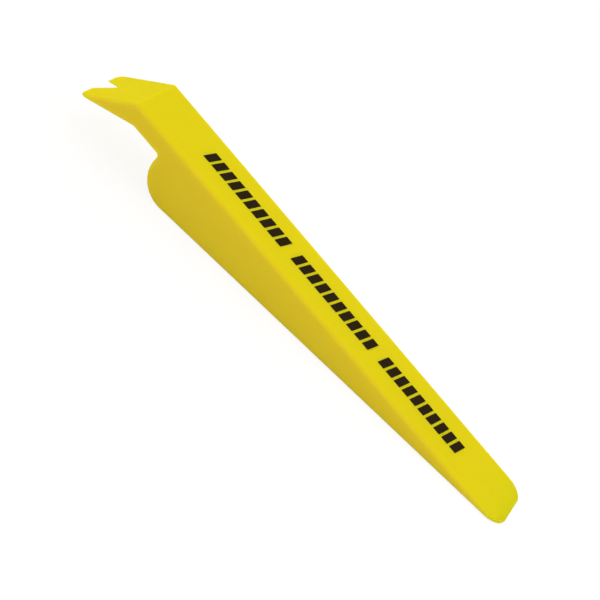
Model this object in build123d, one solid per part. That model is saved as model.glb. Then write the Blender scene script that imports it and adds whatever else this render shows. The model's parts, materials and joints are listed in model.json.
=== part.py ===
from build123d import *
from math import atan, atan2, cos, radians, sin, tan
import os

# Pry wedge for lifting trim and for holding panels apart, moulded in one piece.
# Millimetres. +X runs from the forked head to the blade and +Z is up. The tool stands on
# its flat underside, and the origin lies there, under the middle of its length and width.

# Wedge
body_width = 31.75
wedge_length = 178.0
heel_height = 23.5
heel_wall = 2.4
blade_thickness = 0.6
blade_corner_radius = 8.0

# Neck
neck_length = 19.6
neck_thickness = 8.0
neck_underside_length = 14.7
neck_corner_radius = 1.6

# Forked head
head_length = 25.7
head_angle = 42.0
bend_radius = 1.5
bend_underside_radius = 3.0
tine_thickness = 0.6
tine_corner_radius = 4.0

# Notch between the tines, with thin edges because it is bevelled from below
notch_depth = 9.8
notch_mouth = 13.6
notch_tip_radius = 0.5
notch_edge_thickness = 0.5
notch_bevel_angle = 55.0

# Rounding of every long edge
edge_radius = 1.4

# How far shapes that only cut or enclose the body reach past it
clear = 6.0

# The side view is worked out with X counted from the lowest point of the heel. The top
# face climbs at one slope from the blade to the bend, where the head turns down.
slope = atan2(heel_height - blade_thickness, wedge_length)
turn = radians(head_angle)
to_fork = Vector(-cos(slope), 0, sin(slope))
into_body = Vector(-sin(slope), 0, -cos(slope))
along_head = to_fork * cos(turn) + into_body * sin(turn)
into_head = into_body * cos(turn) - to_fork * sin(turn)

# The heel's round runs from the foot of its straight wall into the flat underside.
heel_radius = heel_height - (neck_thickness + heel_wall) / cos(slope)
heel_bottom = Vector(0, 0, 0)
heel_centre = Vector(0, 0, heel_radius)
heel_front = heel_centre + to_fork * heel_radius
heel_middle = heel_centre + (to_fork + Vector(0, 0, -1)).normalized() * heel_radius
wall_foot = heel_front - into_body * heel_wall
wall_top = wall_foot - into_body * neck_thickness
neck_end = wall_foot + to_fork * neck_underside_length
bend = wall_top + to_fork * neck_length
tine_top = bend + along_head * head_length
tine_bottom = tine_top + into_head * tine_thickness
blade_top = Vector(wedge_length, 0, blade_thickness)
blade_bottom = Vector(wedge_length, 0, 0)

# Points that lie clear above and below the whole tool, in line with its two ends
high = bend.Z + clear
low = -clear
tine_high = tine_top + into_head * ((high - tine_top.Z) / into_head.Z)
tine_low = tine_top + into_head * ((low - tine_top.Z) / into_head.Z)
blade_high = Vector(wedge_length, 0, high)
blade_low = Vector(wedge_length, 0, low)


def slab(outline, rounded):
    """A side view given over the full width, with some of its corners rounded first."""
    face = make_face(outline)
    for corner, radius in rounded:
        nearest = face.vertices().sort_by_distance(corner)[0]
        face = fillet(nearest, radius)
    return extrude(face, body_width / 2, dir=(0, 1, 0), both=True)


def round_corners(solid):
    """Blade and tines rounded in plan, square to the blade and to the head."""
    blade = solid.edges().filter_by(Axis.Z).group_by(Axis.X)[-1]
    solid = fillet(blade, blade_corner_radius)
    tines = solid.edges().filter_by(Axis(tine_top, into_head))
    return fillet(tines, tine_corner_radius)


def rim(solid, surfaces):
    """The outer edges of the faces that touch some points of the side view."""
    faces = [solid.faces().sort_by_distance(point)[0] for point in surfaces]
    edges = [edge for face in faces for edge in face.edges()]
    return [edge for edge in edges if edges.count(edge) == 1]


def upper_form():
    """All that lies below the top face and the head's top, with its upper edges rounded."""
    outline = Polyline(blade_top, bend, tine_top, tine_low, blade_low, close=True)
    solid = round_corners(slab(outline, [(bend, bend_radius)]))
    surfaces = [(blade_top + bend) / 2, bend, (bend + tine_top) / 2]
    return fillet(rim(solid, surfaces), edge_radius)


def lower_form():
    """All that lies above the underside, with its lower edges rounded."""
    outline = [
        Polyline(heel_bottom, blade_bottom, blade_high, tine_high, tine_bottom, neck_end,
                 wall_foot, heel_front),
        ThreePointArc(heel_front, heel_middle, heel_bottom),
    ]
    corners = [(neck_end, bend_underside_radius), (wall_foot, neck_corner_radius)]
    solid = round_corners(slab(outline, corners))
    surfaces = [
        (heel_bottom + blade_bottom) / 2,
        heel_middle,
        (wall_foot + heel_front) / 2,
        wall_foot,
        (wall_foot + neck_end) / 2,
        neck_end,
        (neck_end + tine_bottom) / 2,
    ]
    return fillet(rim(solid, surfaces), edge_radius)


def vee(depth, spread):
    """Outline of the notch at a depth below the head's top, widened by a spread."""
    half_angle = atan(notch_mouth / 2 / notch_depth)
    tip = notch_depth + spread / sin(half_angle)
    half_mouth = (tip + clear) * tan(half_angle)
    face = make_face(Polyline((tip, 0), (-clear, half_mouth), (-clear, -half_mouth), close=True))
    face = fillet(face.vertices().sort_by(Axis.X)[-1], notch_tip_radius + spread)
    return Plane(origin=tine_top, x_dir=-along_head, z_dir=into_head).offset(depth) * face


def notch():
    """The V between the tines, straight at its edge and bevelled wider below it."""
    straight = extrude(vee(-clear, 0), clear + neck_thickness, dir=into_head)
    spread = neck_thickness * tan(radians(notch_bevel_angle))
    bevel = loft([vee(notch_edge_thickness, 0),
                  vee(notch_edge_thickness + neck_thickness, spread)], ruled=True)
    return straight + bevel


wedge = (upper_form() & lower_form()) - notch()

# The rounded edges take a little off both ends, so the middle is that of the finished shape.
box = wedge.bounding_box()
wedge = Pos(-(box.min.X + box.max.X) / 2, 0, 0) * wedge

os.makedirs("parts", exist_ok=True)
export_step(wedge, "parts/pry_wedge.step")
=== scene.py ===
import json
import logging
from dataclasses import dataclass
from math import cos, radians, sin

import bpy
import numpy as np
from mathutils import Matrix, Vector


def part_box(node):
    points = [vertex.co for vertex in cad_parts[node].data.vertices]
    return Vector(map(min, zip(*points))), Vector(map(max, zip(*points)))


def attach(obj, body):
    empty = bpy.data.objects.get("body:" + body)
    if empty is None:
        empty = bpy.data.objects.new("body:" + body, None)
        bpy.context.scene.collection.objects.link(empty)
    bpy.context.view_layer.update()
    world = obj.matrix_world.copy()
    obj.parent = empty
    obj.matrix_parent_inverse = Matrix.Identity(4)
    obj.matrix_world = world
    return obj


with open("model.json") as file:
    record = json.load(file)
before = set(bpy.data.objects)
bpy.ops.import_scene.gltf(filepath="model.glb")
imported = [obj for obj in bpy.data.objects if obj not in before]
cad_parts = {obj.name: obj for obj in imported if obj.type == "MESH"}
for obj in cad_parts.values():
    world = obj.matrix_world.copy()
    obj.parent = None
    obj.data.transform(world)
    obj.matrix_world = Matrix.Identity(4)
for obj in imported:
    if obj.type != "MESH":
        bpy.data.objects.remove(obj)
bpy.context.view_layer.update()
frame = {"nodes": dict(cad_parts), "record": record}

# Pry wedge: the moulded body keeps its solid and gets its plastic here. The ink on its top
# face, the floor, the light and the camera are added. Sizes are in millimetres unless a name
# ends in _m, and MM turns them to the frame's metres.

log = logging.getLogger("pry_wedge")
MM = 0.001
IMAGE_SIDE_PX = 600
SENSOR_WIDTH_MM = 36.0


def linear(hex_colour: str) -> tuple[float, float, float, float]:
    """Turn an sRGB hex colour to linear light.

    Near black a channel is divided by 12.92. Above that, 0.055 is added to it, the sum is
    divided by 1.055 and raised to the power 2.4.

    Args:
        hex_colour: colour as "#RRGGBB".

    Returns:
        Red, green and blue in linear light, and an opacity of 1.
    """
    srgb = np.array([int(hex_colour[i:i + 2], 16) for i in (1, 3, 5)]) / 255.0
    light = np.where(srgb <= 0.04045, srgb / 12.92, ((srgb + 0.055) / 1.055) ** 2.4)
    return (float(light[0]), float(light[1]), float(light[2]), 1.0)


def cells_to_the_metre(cell_mm: float) -> float:
    """Scale of a noise texture whose cells measure cell_mm across."""
    return 1 / (cell_mm * MM)


def add_node(
    tree: bpy.types.NodeTree,
    kind: str,
    settings: dict[str, object] | None = None,
    links: dict[str, bpy.types.Node | bpy.types.NodeSocket] | None = None,
) -> bpy.types.Node:
    """Add one shader node with its settings and its incoming links.

    Args:
        tree: node tree that takes the node.
        kind: Blender's name of the node type.
        settings: socket identifiers with their constant values, and attributes of the node.
        links: socket identifiers with the sockets that feed them, or a node whose first
            output in use does.

    Returns:
        The new node.
    """
    node = tree.nodes.new(kind)
    sockets = {entry.identifier: entry for entry in node.inputs}
    for name, value in (settings or {}).items():
        if name in sockets:
            sockets[name].default_value = value
        else:
            setattr(node, name, value)
    for name, source in (links or {}).items():
        if isinstance(source, bpy.types.Node):
            source = next(output for output in source.outputs if output.enabled)
        tree.links.new(source, sockets[name])
    return node


def empty_tree(owner: bpy.types.Material | bpy.types.World) -> bpy.types.NodeTree:
    """Give a material or a world an empty node tree.

    Args:
        owner: the new material or world.

    Returns:
        Its cleared node tree.
    """
    owner.use_nodes = True
    owner.node_tree.nodes.clear()
    return owner.node_tree


def seen_by_eye(tree: bpy.types.NodeTree) -> bpy.types.Node:
    """Tell the rays that show a surface from those that only light others with it.

    Args:
        tree: node tree that takes the nodes.

    Returns:
        The node that gives 1 to camera rays, reflections and rays through glass, else 0.
    """
    path = add_node(tree, "ShaderNodeLightPath").outputs
    camera_or_gloss = add_node(
        tree, "ShaderNodeMath", {"operation": "MAXIMUM"},
        {"Value": path["Is Camera Ray"], "Value_001": path["Is Glossy Ray"]})
    return add_node(
        tree, "ShaderNodeMath", {"operation": "MAXIMUM"},
        {"Value": camera_or_gloss, "Value_001": path["Is Transmission Ray"]})


def mesh_object(name: str, points: np.ndarray, faces: list[list[int]]) -> bpy.types.Object:
    """Put points and faces into a new mesh whose object sits at the origin.

    Args:
        name: name of the object and its mesh.
        points: array of shape (n, 3), in metres.
        faces: point numbers of each face, counter-clockwise seen from outside.

    Returns:
        The new object, linked to the scene.
    """
    mesh = bpy.data.meshes.new(name)
    mesh.from_pydata(points.tolist(), [], faces)
    mesh.update()
    piece = bpy.data.objects.new(name, mesh)
    bpy.context.scene.collection.objects.link(piece)
    return piece


@dataclass(frozen=True)
class MouldedPlastic:
    """Yellow polyethylene or nylon, injection moulded, with the mould's fine satin grain.

    To the eye: a strong yellow with hardly any gloss, soft edges where light soaks through
    the thin parts, and a surface that is a little uneven where thick plastic shrank. The two
    long side walls carry painted light: a paler, less saturated yellow that stands in for how
    light falls on them, and comes in over their rounded edges.

    The IOR is that of such plastics, and the specular level is low because the tool shows
    almost no gloss. Red light soaks in by the scatter depth, green and blue by shares of it.
    """

    colour: str = "#EEDB14"
    colour_thick: str = "#E9D614"
    # Painted light: a paler, less saturated yellow on the long side walls that stands in for how
    # light falls on them.
    painted_side_light_colour: str = "#F8E13A"
    painted_side_light_fade: float = 1.27
    cloud_size: float = 45.0
    cloud_detail: float = 2.0
    roughness: float = 0.6
    specular: float = 0.01
    ior: float = 1.5
    scatter_depth: float = 3.0
    scatter_shares: tuple[float, float, float] = (1.0, 0.85, 0.15)
    shrink_size: float = 30.0
    shrink_detail: float = 0.0
    shrink_height: float = 0.05
    grain_size: float = 0.5
    grain_detail: float = 3.0
    grain_height: float = 0.006

    def add_colour(
        self, tree: bpy.types.NodeTree, place: bpy.types.NodeSocket, half_width_m: float,
    ) -> bpy.types.Node:
        """Add the colour: wide clouds of two shades, and painted light on the side walls.

        The painted light, a paler and less saturated yellow, comes in with the distance from the
        middle of the width.

        Args:
            tree: node tree that takes the nodes.
            place: socket that gives object coordinates.
            half_width_m: distance from the middle of the width to a side wall, in metres.

        Returns:
            The node that gives the colour.
        """
        cloud = add_node(
            tree, "ShaderNodeTexNoise",
            {"Scale": cells_to_the_metre(self.cloud_size), "Detail": self.cloud_detail},
            {"Vector": place})
        clouded = add_node(
            tree, "ShaderNodeMix",
            {
                "data_type": "RGBA",
                "A_Color": linear(self.colour),
                "B_Color": linear(self.colour_thick),
            },
            {"Factor_Float": cloud})
        across = add_node(tree, "ShaderNodeSeparateXYZ", None, {"Vector": place}).outputs["Y"]
        from_middle = add_node(
            tree, "ShaderNodeMath", {"operation": "ABSOLUTE"}, {"Value": across})
        # Painted light: towards each side wall the yellow turns paler and less saturated, standing
        # in for how light falls there, not a colour of the plastic.
        painted_side_light_mask = add_node(
            tree, "ShaderNodeMapRange",
            {"From Min": half_width_m - self.painted_side_light_fade * MM, "From Max": half_width_m},
            {"Value": from_middle})
        return add_node(
            tree, "ShaderNodeMix",
            {"data_type": "RGBA", "B_Color": linear(self.painted_side_light_colour)},
            {"Factor_Float": painted_side_light_mask, "A_Color": clouded})

    def add_relief(
        self, tree: bpy.types.NodeTree, place: bpy.types.NodeSocket,
    ) -> bpy.types.Node:
        """Add the relief: slow hollows where the plastic shrank, and the mould's grain.

        Args:
            tree: node tree that takes the nodes.
            place: socket that gives object coordinates.

        Returns:
            The node that gives the surface's direction.
        """
        shrink = add_node(
            tree, "ShaderNodeTexNoise",
            {"Scale": cells_to_the_metre(self.shrink_size), "Detail": self.shrink_detail},
            {"Vector": place})
        uneven = add_node(
            tree, "ShaderNodeBump", {"Distance": self.shrink_height * MM}, {"Height": shrink})
        # The real grain is about 0.05 mm; it is drawn ten times as coarse so that it can show.
        grain = add_node(
            tree, "ShaderNodeTexNoise",
            {"Scale": cells_to_the_metre(self.grain_size), "Detail": self.grain_detail},
            {"Vector": place})
        return add_node(
            tree, "ShaderNodeBump", {"Distance": self.grain_height * MM},
            {"Height": grain, "Normal": uneven})

    def material(self, half_width_m: float) -> bpy.types.Material:
        """Build the plastic from object coordinates, so each pattern keeps its real size.

        Args:
            half_width_m: distance from the middle of the width to a side wall, in metres.

        Returns:
            The finished material.
        """
        material = bpy.data.materials.new("moulded_yellow_plastic")
        tree = empty_tree(material)
        place = add_node(tree, "ShaderNodeTexCoord").outputs["Object"]
        plastic = add_node(
            tree, "ShaderNodeBsdfPrincipled",
            {
                "Roughness": self.roughness,
                "IOR": self.ior,
                "Specular IOR Level": self.specular,
                "Subsurface Weight": 1.0,
                "Subsurface Radius": self.scatter_shares,
                "Subsurface Scale": self.scatter_depth * MM,
            },
            {
                "Base Color": self.add_colour(tree, place, half_width_m),
                "Normal": self.add_relief(tree, place),
            })
        add_node(tree, "ShaderNodeOutputMaterial", None, {"Surface": plastic})
        return material


@dataclass(frozen=True)
class PrintInk:
    """Black pad-printing ink, a thin film that cures to a dull satin.

    To the eye: a warm black, not quite even, as dull as the plastic under it, and a little
    lighter in patches where the film is thin.
    """

    colour: str = "#261A05"
    colour_thin: str = "#2E2109"
    patch_size: float = 1.5
    patch_detail: float = 3.0
    roughness: float = 0.6
    specular: float = 0.02

    def material(self) -> bpy.types.Material:
        """Build the ink from object coordinates.

        Returns:
            The finished material.
        """
        material = bpy.data.materials.new("black_pad_print_ink")
        tree = empty_tree(material)
        place = add_node(tree, "ShaderNodeTexCoord").outputs["Object"]
        patch = add_node(
            tree, "ShaderNodeTexNoise",
            {"Scale": cells_to_the_metre(self.patch_size), "Detail": self.patch_detail},
            {"Vector": place})
        patchy = add_node(
            tree, "ShaderNodeMix",
            {
                "data_type": "RGBA",
                "A_Color": linear(self.colour),
                "B_Color": linear(self.colour_thin),
            },
            {"Factor_Float": patch})
        ink = add_node(
            tree, "ShaderNodeBsdfPrincipled",
            {"Roughness": self.roughness, "Specular IOR Level": self.specular},
            {"Base Color": patchy})
        add_node(tree, "ShaderNodeOutputMaterial", None, {"Surface": ink})
        return material


@dataclass(frozen=True)
class WhiteBoard:
    """Matt white board. The camera sees it as white paper with a faint shadow on it.

    Light that bounces off it is plain matt white. To the camera, and in reflections, most of
    its white comes from its own glow and the rest from the light, so a shadow stays.
    """

    colour: str = "#F2F2F2"
    glow: float = 0.88
    lit_colour: str = "#6C6C6C"

    def material(self) -> bpy.types.Material:
        """Build the board with one face for the camera and one for bounced light.

        Returns:
            The finished material.
        """
        material = bpy.data.materials.new("matt_white_board")
        tree = empty_tree(material)
        bounce = add_node(tree, "ShaderNodeBsdfDiffuse", {"Color": linear(self.colour)})
        glow = add_node(tree, "ShaderNodeEmission", {"Strength": self.glow})
        shaded = add_node(tree, "ShaderNodeBsdfDiffuse", {"Color": linear(self.lit_colour)})
        seen = add_node(
            tree, "ShaderNodeAddShader", None, {"Shader": glow, "Shader_001": shaded})
        board = add_node(
            tree, "ShaderNodeMixShader", None,
            {"Fac": seen_by_eye(tree), "Shader": bounce, "Shader_001": seen})
        add_node(tree, "ShaderNodeOutputMaterial", None, {"Surface": board})
        # The board isn't a lamp. Counted as one, its glow would be lost from reflections.
        material.cycles.emission_sampling = "NONE"
        return material


@dataclass
class WedgeBody:
    """The one-piece moulding, which keeps the solid's own mesh."""

    node: str = "pry_wedge"
    plastic: MouldedPlastic = MouldedPlastic()

    def dress(self) -> bpy.types.Object:
        """Give the moulding its plastic.

        Returns:
            The dressed object.
        """
        body = frame["nodes"][self.node]
        _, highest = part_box(self.node)
        body.data.materials.clear()
        body.data.materials.append(self.plastic.material(highest.y))
        return body


@dataclass
class PrintedBars:
    """A row of plain, equal, slanted bars in black ink, in three groups along the top face.

    The bars stand on a foot line, on the camera's side of the face's middle, and lean towards
    the blade. The row is printed a little askew, and one bar's place is left empty between
    two groups. Distances along the face count from the middle of its flat part. The lean is
    the shift along for each millimetre of height, and the askew is the shift across for each
    millimetre along.
    """

    mount: str = "top_face"
    groups: int = 3
    bars_in_group: int = 10
    first: float = -73.2
    last: float = 72.3
    bar_width: float = 3.5
    bar_height: float = 8.5
    corner_radius: float = 0.25
    corner_steps: int = 5
    lean: float = 0.22
    foot: float = 3.9
    askew: float = -0.0073
    film_thickness: float = 0.03
    film_sunk: float = 0.01
    ink: PrintInk = PrintInk()

    def places(self) -> np.ndarray:
        """Places of the bars along the face.

        Evenly spaced places run from the first bar to the last. Each group takes its bars'
        places and leaves the next one empty.

        Returns:
            Distance of each bar from the middle of the face, in mm.
        """
        step = self.bars_in_group + 1
        number = np.arange(self.groups * step - 1)
        spaced = np.linspace(self.first, self.last, len(number))
        return spaced[number % step < self.bars_in_group]

    def outline(self) -> np.ndarray:
        """Outline of a bar: a rectangle with arcs at its corners, sheared by the lean.

        Each corner's points are its arc's centre plus the radius times the cosine and sine of
        evenly spaced angles. The shear adds the lean times the height to the distance along.

        Returns:
            Array (points, 2) of distance along and height above the foot line, in mm.
        """
        sign = np.array([(1, 1), (-1, 1), (-1, -1), (1, -1)], float)
        half = np.array([self.bar_width, self.bar_height]) / 2
        centre = sign * (half - self.corner_radius)
        start = np.radians([0.0, 90.0, 180.0, 270.0])
        angle = start[:, None] + np.linspace(0.0, np.pi / 2, self.corner_steps)
        arc = np.stack([np.cos(angle), np.sin(angle)], axis=2) * self.corner_radius
        flat = (centre[:, None, :] + arc).reshape(-1, 2)
        flat[:, 1] += half[1]
        flat[:, 0] += self.lean * flat[:, 1]
        return flat

    def points(self) -> np.ndarray:
        """Points of every bar, laid on the top face as a thin closed film.

        A point is the face's middle, plus its distance along the face, plus its height across
        the face from the foot line, plus the film's lower or upper level along the normal. The
        foot line shifts across by the askew share of the distance along.

        Returns:
            Array (bars, 2, points, 3) in metres: each bar's lower ring, then its upper ring.
        """
        mounts = frame["record"]["mounts"]
        face = next(mount for mount in mounts if mount["name"] == self.mount)
        normal = np.array(face["axis"])
        across = np.array([0.0, 1.0, 0.0])
        along = np.cross(across, normal)
        flat = self.outline()
        reach = flat[:, 0] + self.places()[:, None]
        sideways = flat[:, 1] - self.foot + self.askew * reach
        ring = np.array(face["pos_m"]) + MM * (
            reach[..., None] * along + sideways[..., None] * across)
        levels = MM * np.array([-self.film_sunk, self.film_thickness])
        return ring[:, None] + levels[:, None, None] * normal

    @staticmethod
    def faces(bars: int, number: int) -> list[list[int]]:
        """Bottom, top and side faces of every bar.

        A bar's points are its lower ring, then its upper ring. A side face joins two
        neighbours of the lower ring to the same two of the upper ring.

        Args:
            bars: how many bars there are.
            number: how many points a ring has.

        Returns:
            Point numbers of each face, counter-clockwise seen from outside.
        """
        low = np.arange(bars)[:, None] * 2 * number + np.arange(number)
        high = low + number
        sides = np.stack(
            [low, np.roll(low, -1, axis=1), np.roll(high, -1, axis=1), high], axis=2)
        return [*low[:, ::-1].tolist(), *high.tolist(), *sides.reshape(-1, 4).tolist()]

    def build(self) -> bpy.types.Object:
        """Print the row.

        Returns:
            The row of bars, riding on the moulding's body.
        """
        points = self.points()
        bars, _, number, _ = points.shape
        row = mesh_object("printed_bars", points.reshape(-1, 3), self.faces(bars, number))
        row.data.materials.append(self.ink.material())
        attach(row, "root")
        return row


@dataclass(frozen=True)
class Glow:
    """Even light from one part of the room: its colour, and its strength, where 1 is white."""

    colour: str
    strength: float


@dataclass(frozen=True)
class Fade:
    """A smooth step from 0 to 1 over the share of a direction that points along an axis."""

    axis: tuple[float, float, float]
    start: float
    end: float

    def add_to(self, tree: bpy.types.NodeTree) -> bpy.types.Node:
        """Add the step to the nodes of a world.

        The share is the direction's dot product with the axis, from -1 to 1.

        Args:
            tree: node tree of the world.

        Returns:
            The node that gives 0 before the step's start and 1 past its end.
        """
        direction = add_node(tree, "ShaderNodeTexCoord").outputs["Generated"]
        share = add_node(
            tree, "ShaderNodeVectorMath",
            {"operation": "DOT_PRODUCT", "Vector_001": self.axis}, {"Vector": direction})
        return add_node(
            tree, "ShaderNodeMapRange",
            {"interpolation_type": "SMOOTHSTEP", "From Min": self.start, "From Max": self.end},
            {"Value": share})


@dataclass(frozen=True)
class RoomLight:
    """Light from all round: a bright ceiling that fades down to walls, one side of them dim.

    The brightest part of the ceiling lies behind the tool. The eye sees a plain white
    backdrop in place of the room.
    """

    backdrop: Glow = Glow("#FFFFFF", 1.0)
    ceiling: Glow = Glow("#FDFFFF", 1.2)
    lit_wall: Glow = Glow("#FFF0DC", 0.6)
    dim_wall: Glow = Glow("#FFFFFF", 0.1)
    to_ceiling: Fade = Fade((0.0, 0.45, 0.89), 0.35, 0.75)
    to_lit_wall: Fade = Fade((-0.45, -0.9, 0.0), -0.4, 0.4)

    def world(self) -> bpy.types.World:
        """Build the room from the direction that it is seen in.

        Returns:
            The world that lights the object.
        """
        world = bpy.data.worlds.new("room_light")
        tree = empty_tree(world)
        backdrop, ceiling, lit_wall, dim_wall = (
            add_node(
                tree, "ShaderNodeBackground",
                {"Color": linear(glow.colour), "Strength": glow.strength})
            for glow in (self.backdrop, self.ceiling, self.lit_wall, self.dim_wall))
        walls = add_node(
            tree, "ShaderNodeMixShader", None,
            {"Fac": self.to_lit_wall.add_to(tree), "Shader": dim_wall, "Shader_001": lit_wall})
        room = add_node(
            tree, "ShaderNodeMixShader", None,
            {"Fac": self.to_ceiling.add_to(tree), "Shader": walls, "Shader_001": ceiling})
        surround = add_node(
            tree, "ShaderNodeMixShader", None,
            {"Fac": seen_by_eye(tree), "Shader": room, "Shader_001": backdrop})
        add_node(tree, "ShaderNodeOutputWorld", None, {"Surface": surround})
        return world


@dataclass
class Studio:
    """White board under the light of a plain room.

    The board lies a hair below the tool's underside, so that the two faces don't coincide.
    """

    board_side_m: float = 8.0
    board_gap_m: float = 0.00005
    board: WhiteBoard = WhiteBoard()
    light: RoomLight = RoomLight()

    def build(self) -> bpy.types.Object:
        """Lay the board and light the room.

        Returns:
            The board.
        """
        half = self.board_side_m / 2
        corners = np.array([(-half, -half), (half, -half), (half, half), (-half, half)])
        points = np.column_stack([corners, np.full(len(corners), -self.board_gap_m)])
        floor = mesh_object("floor", points, [[0, 1, 2, 3]])
        floor.data.materials.append(self.board.material())
        bpy.context.scene.world = self.light.world()
        return floor


@dataclass
class PhotoCamera:
    """The photograph's view: from the long side, looking down, and rolled.

    Azimuth 0 looks along +Y. The roll turns the tool to run from the upper left of the
    picture to the lower right. The sizes and angles are those at which the solid's outline
    falls on the photograph's.
    """

    aim: tuple[float, float, float] = (-0.20, 0.0, 4.19)
    distance: float = 614.8
    azimuth_deg: float = 4.539
    elevation_deg: float = 31.710
    roll_deg: float = 40.981
    focal_px: float = 1585.0
    clip_start_m: float = 0.01

    def build(self) -> bpy.types.Object:
        """Place the camera by its aim, distance and three angles.

        Returns:
            The camera, set as the scene's own.
        """
        azimuth, elevation = radians(self.azimuth_deg), radians(self.elevation_deg)
        back = Vector((
            sin(azimuth) * cos(elevation), -cos(azimuth) * cos(elevation), sin(elevation)))
        level = Vector((cos(azimuth), sin(azimuth), 0.0))
        upright = back.cross(level)
        roll = radians(self.roll_deg)
        right = level * cos(roll) + upright * sin(roll)
        up = upright * cos(roll) - level * sin(roll)
        turn = Matrix((right, up, back)).transposed()
        data = bpy.data.cameras.new("photo_camera")
        data.sensor_width = SENSOR_WIDTH_MM
        data.lens = self.focal_px * SENSOR_WIDTH_MM / IMAGE_SIDE_PX
        data.clip_start = self.clip_start_m
        camera = bpy.data.objects.new("photo_camera", data)
        place = Vector(self.aim) * MM + back * self.distance * MM
        camera.matrix_world = Matrix.Translation(place) @ turn.to_4x4()
        bpy.context.scene.collection.objects.link(camera)
        bpy.context.scene.camera = camera
        return camera


def report(piece: bpy.types.Object) -> None:
    """Log a piece's name, how many faces it has and its finish."""
    log.info("%s: %d faces, %s", piece.name, len(piece.data.polygons), piece.data.materials[0].name)


def main() -> None:
    """Build the camera, the pieces and the studio in order, and report each piece."""
    logging.basicConfig(level=logging.INFO, format="%(name)s %(message)s")
    PhotoCamera().build()
    report(WedgeBody().dress())
    report(PrintedBars().build())
    report(Studio().build())
    bpy.context.scene.view_settings.view_transform = "Standard"


if __name__ == "__main__":
    main()
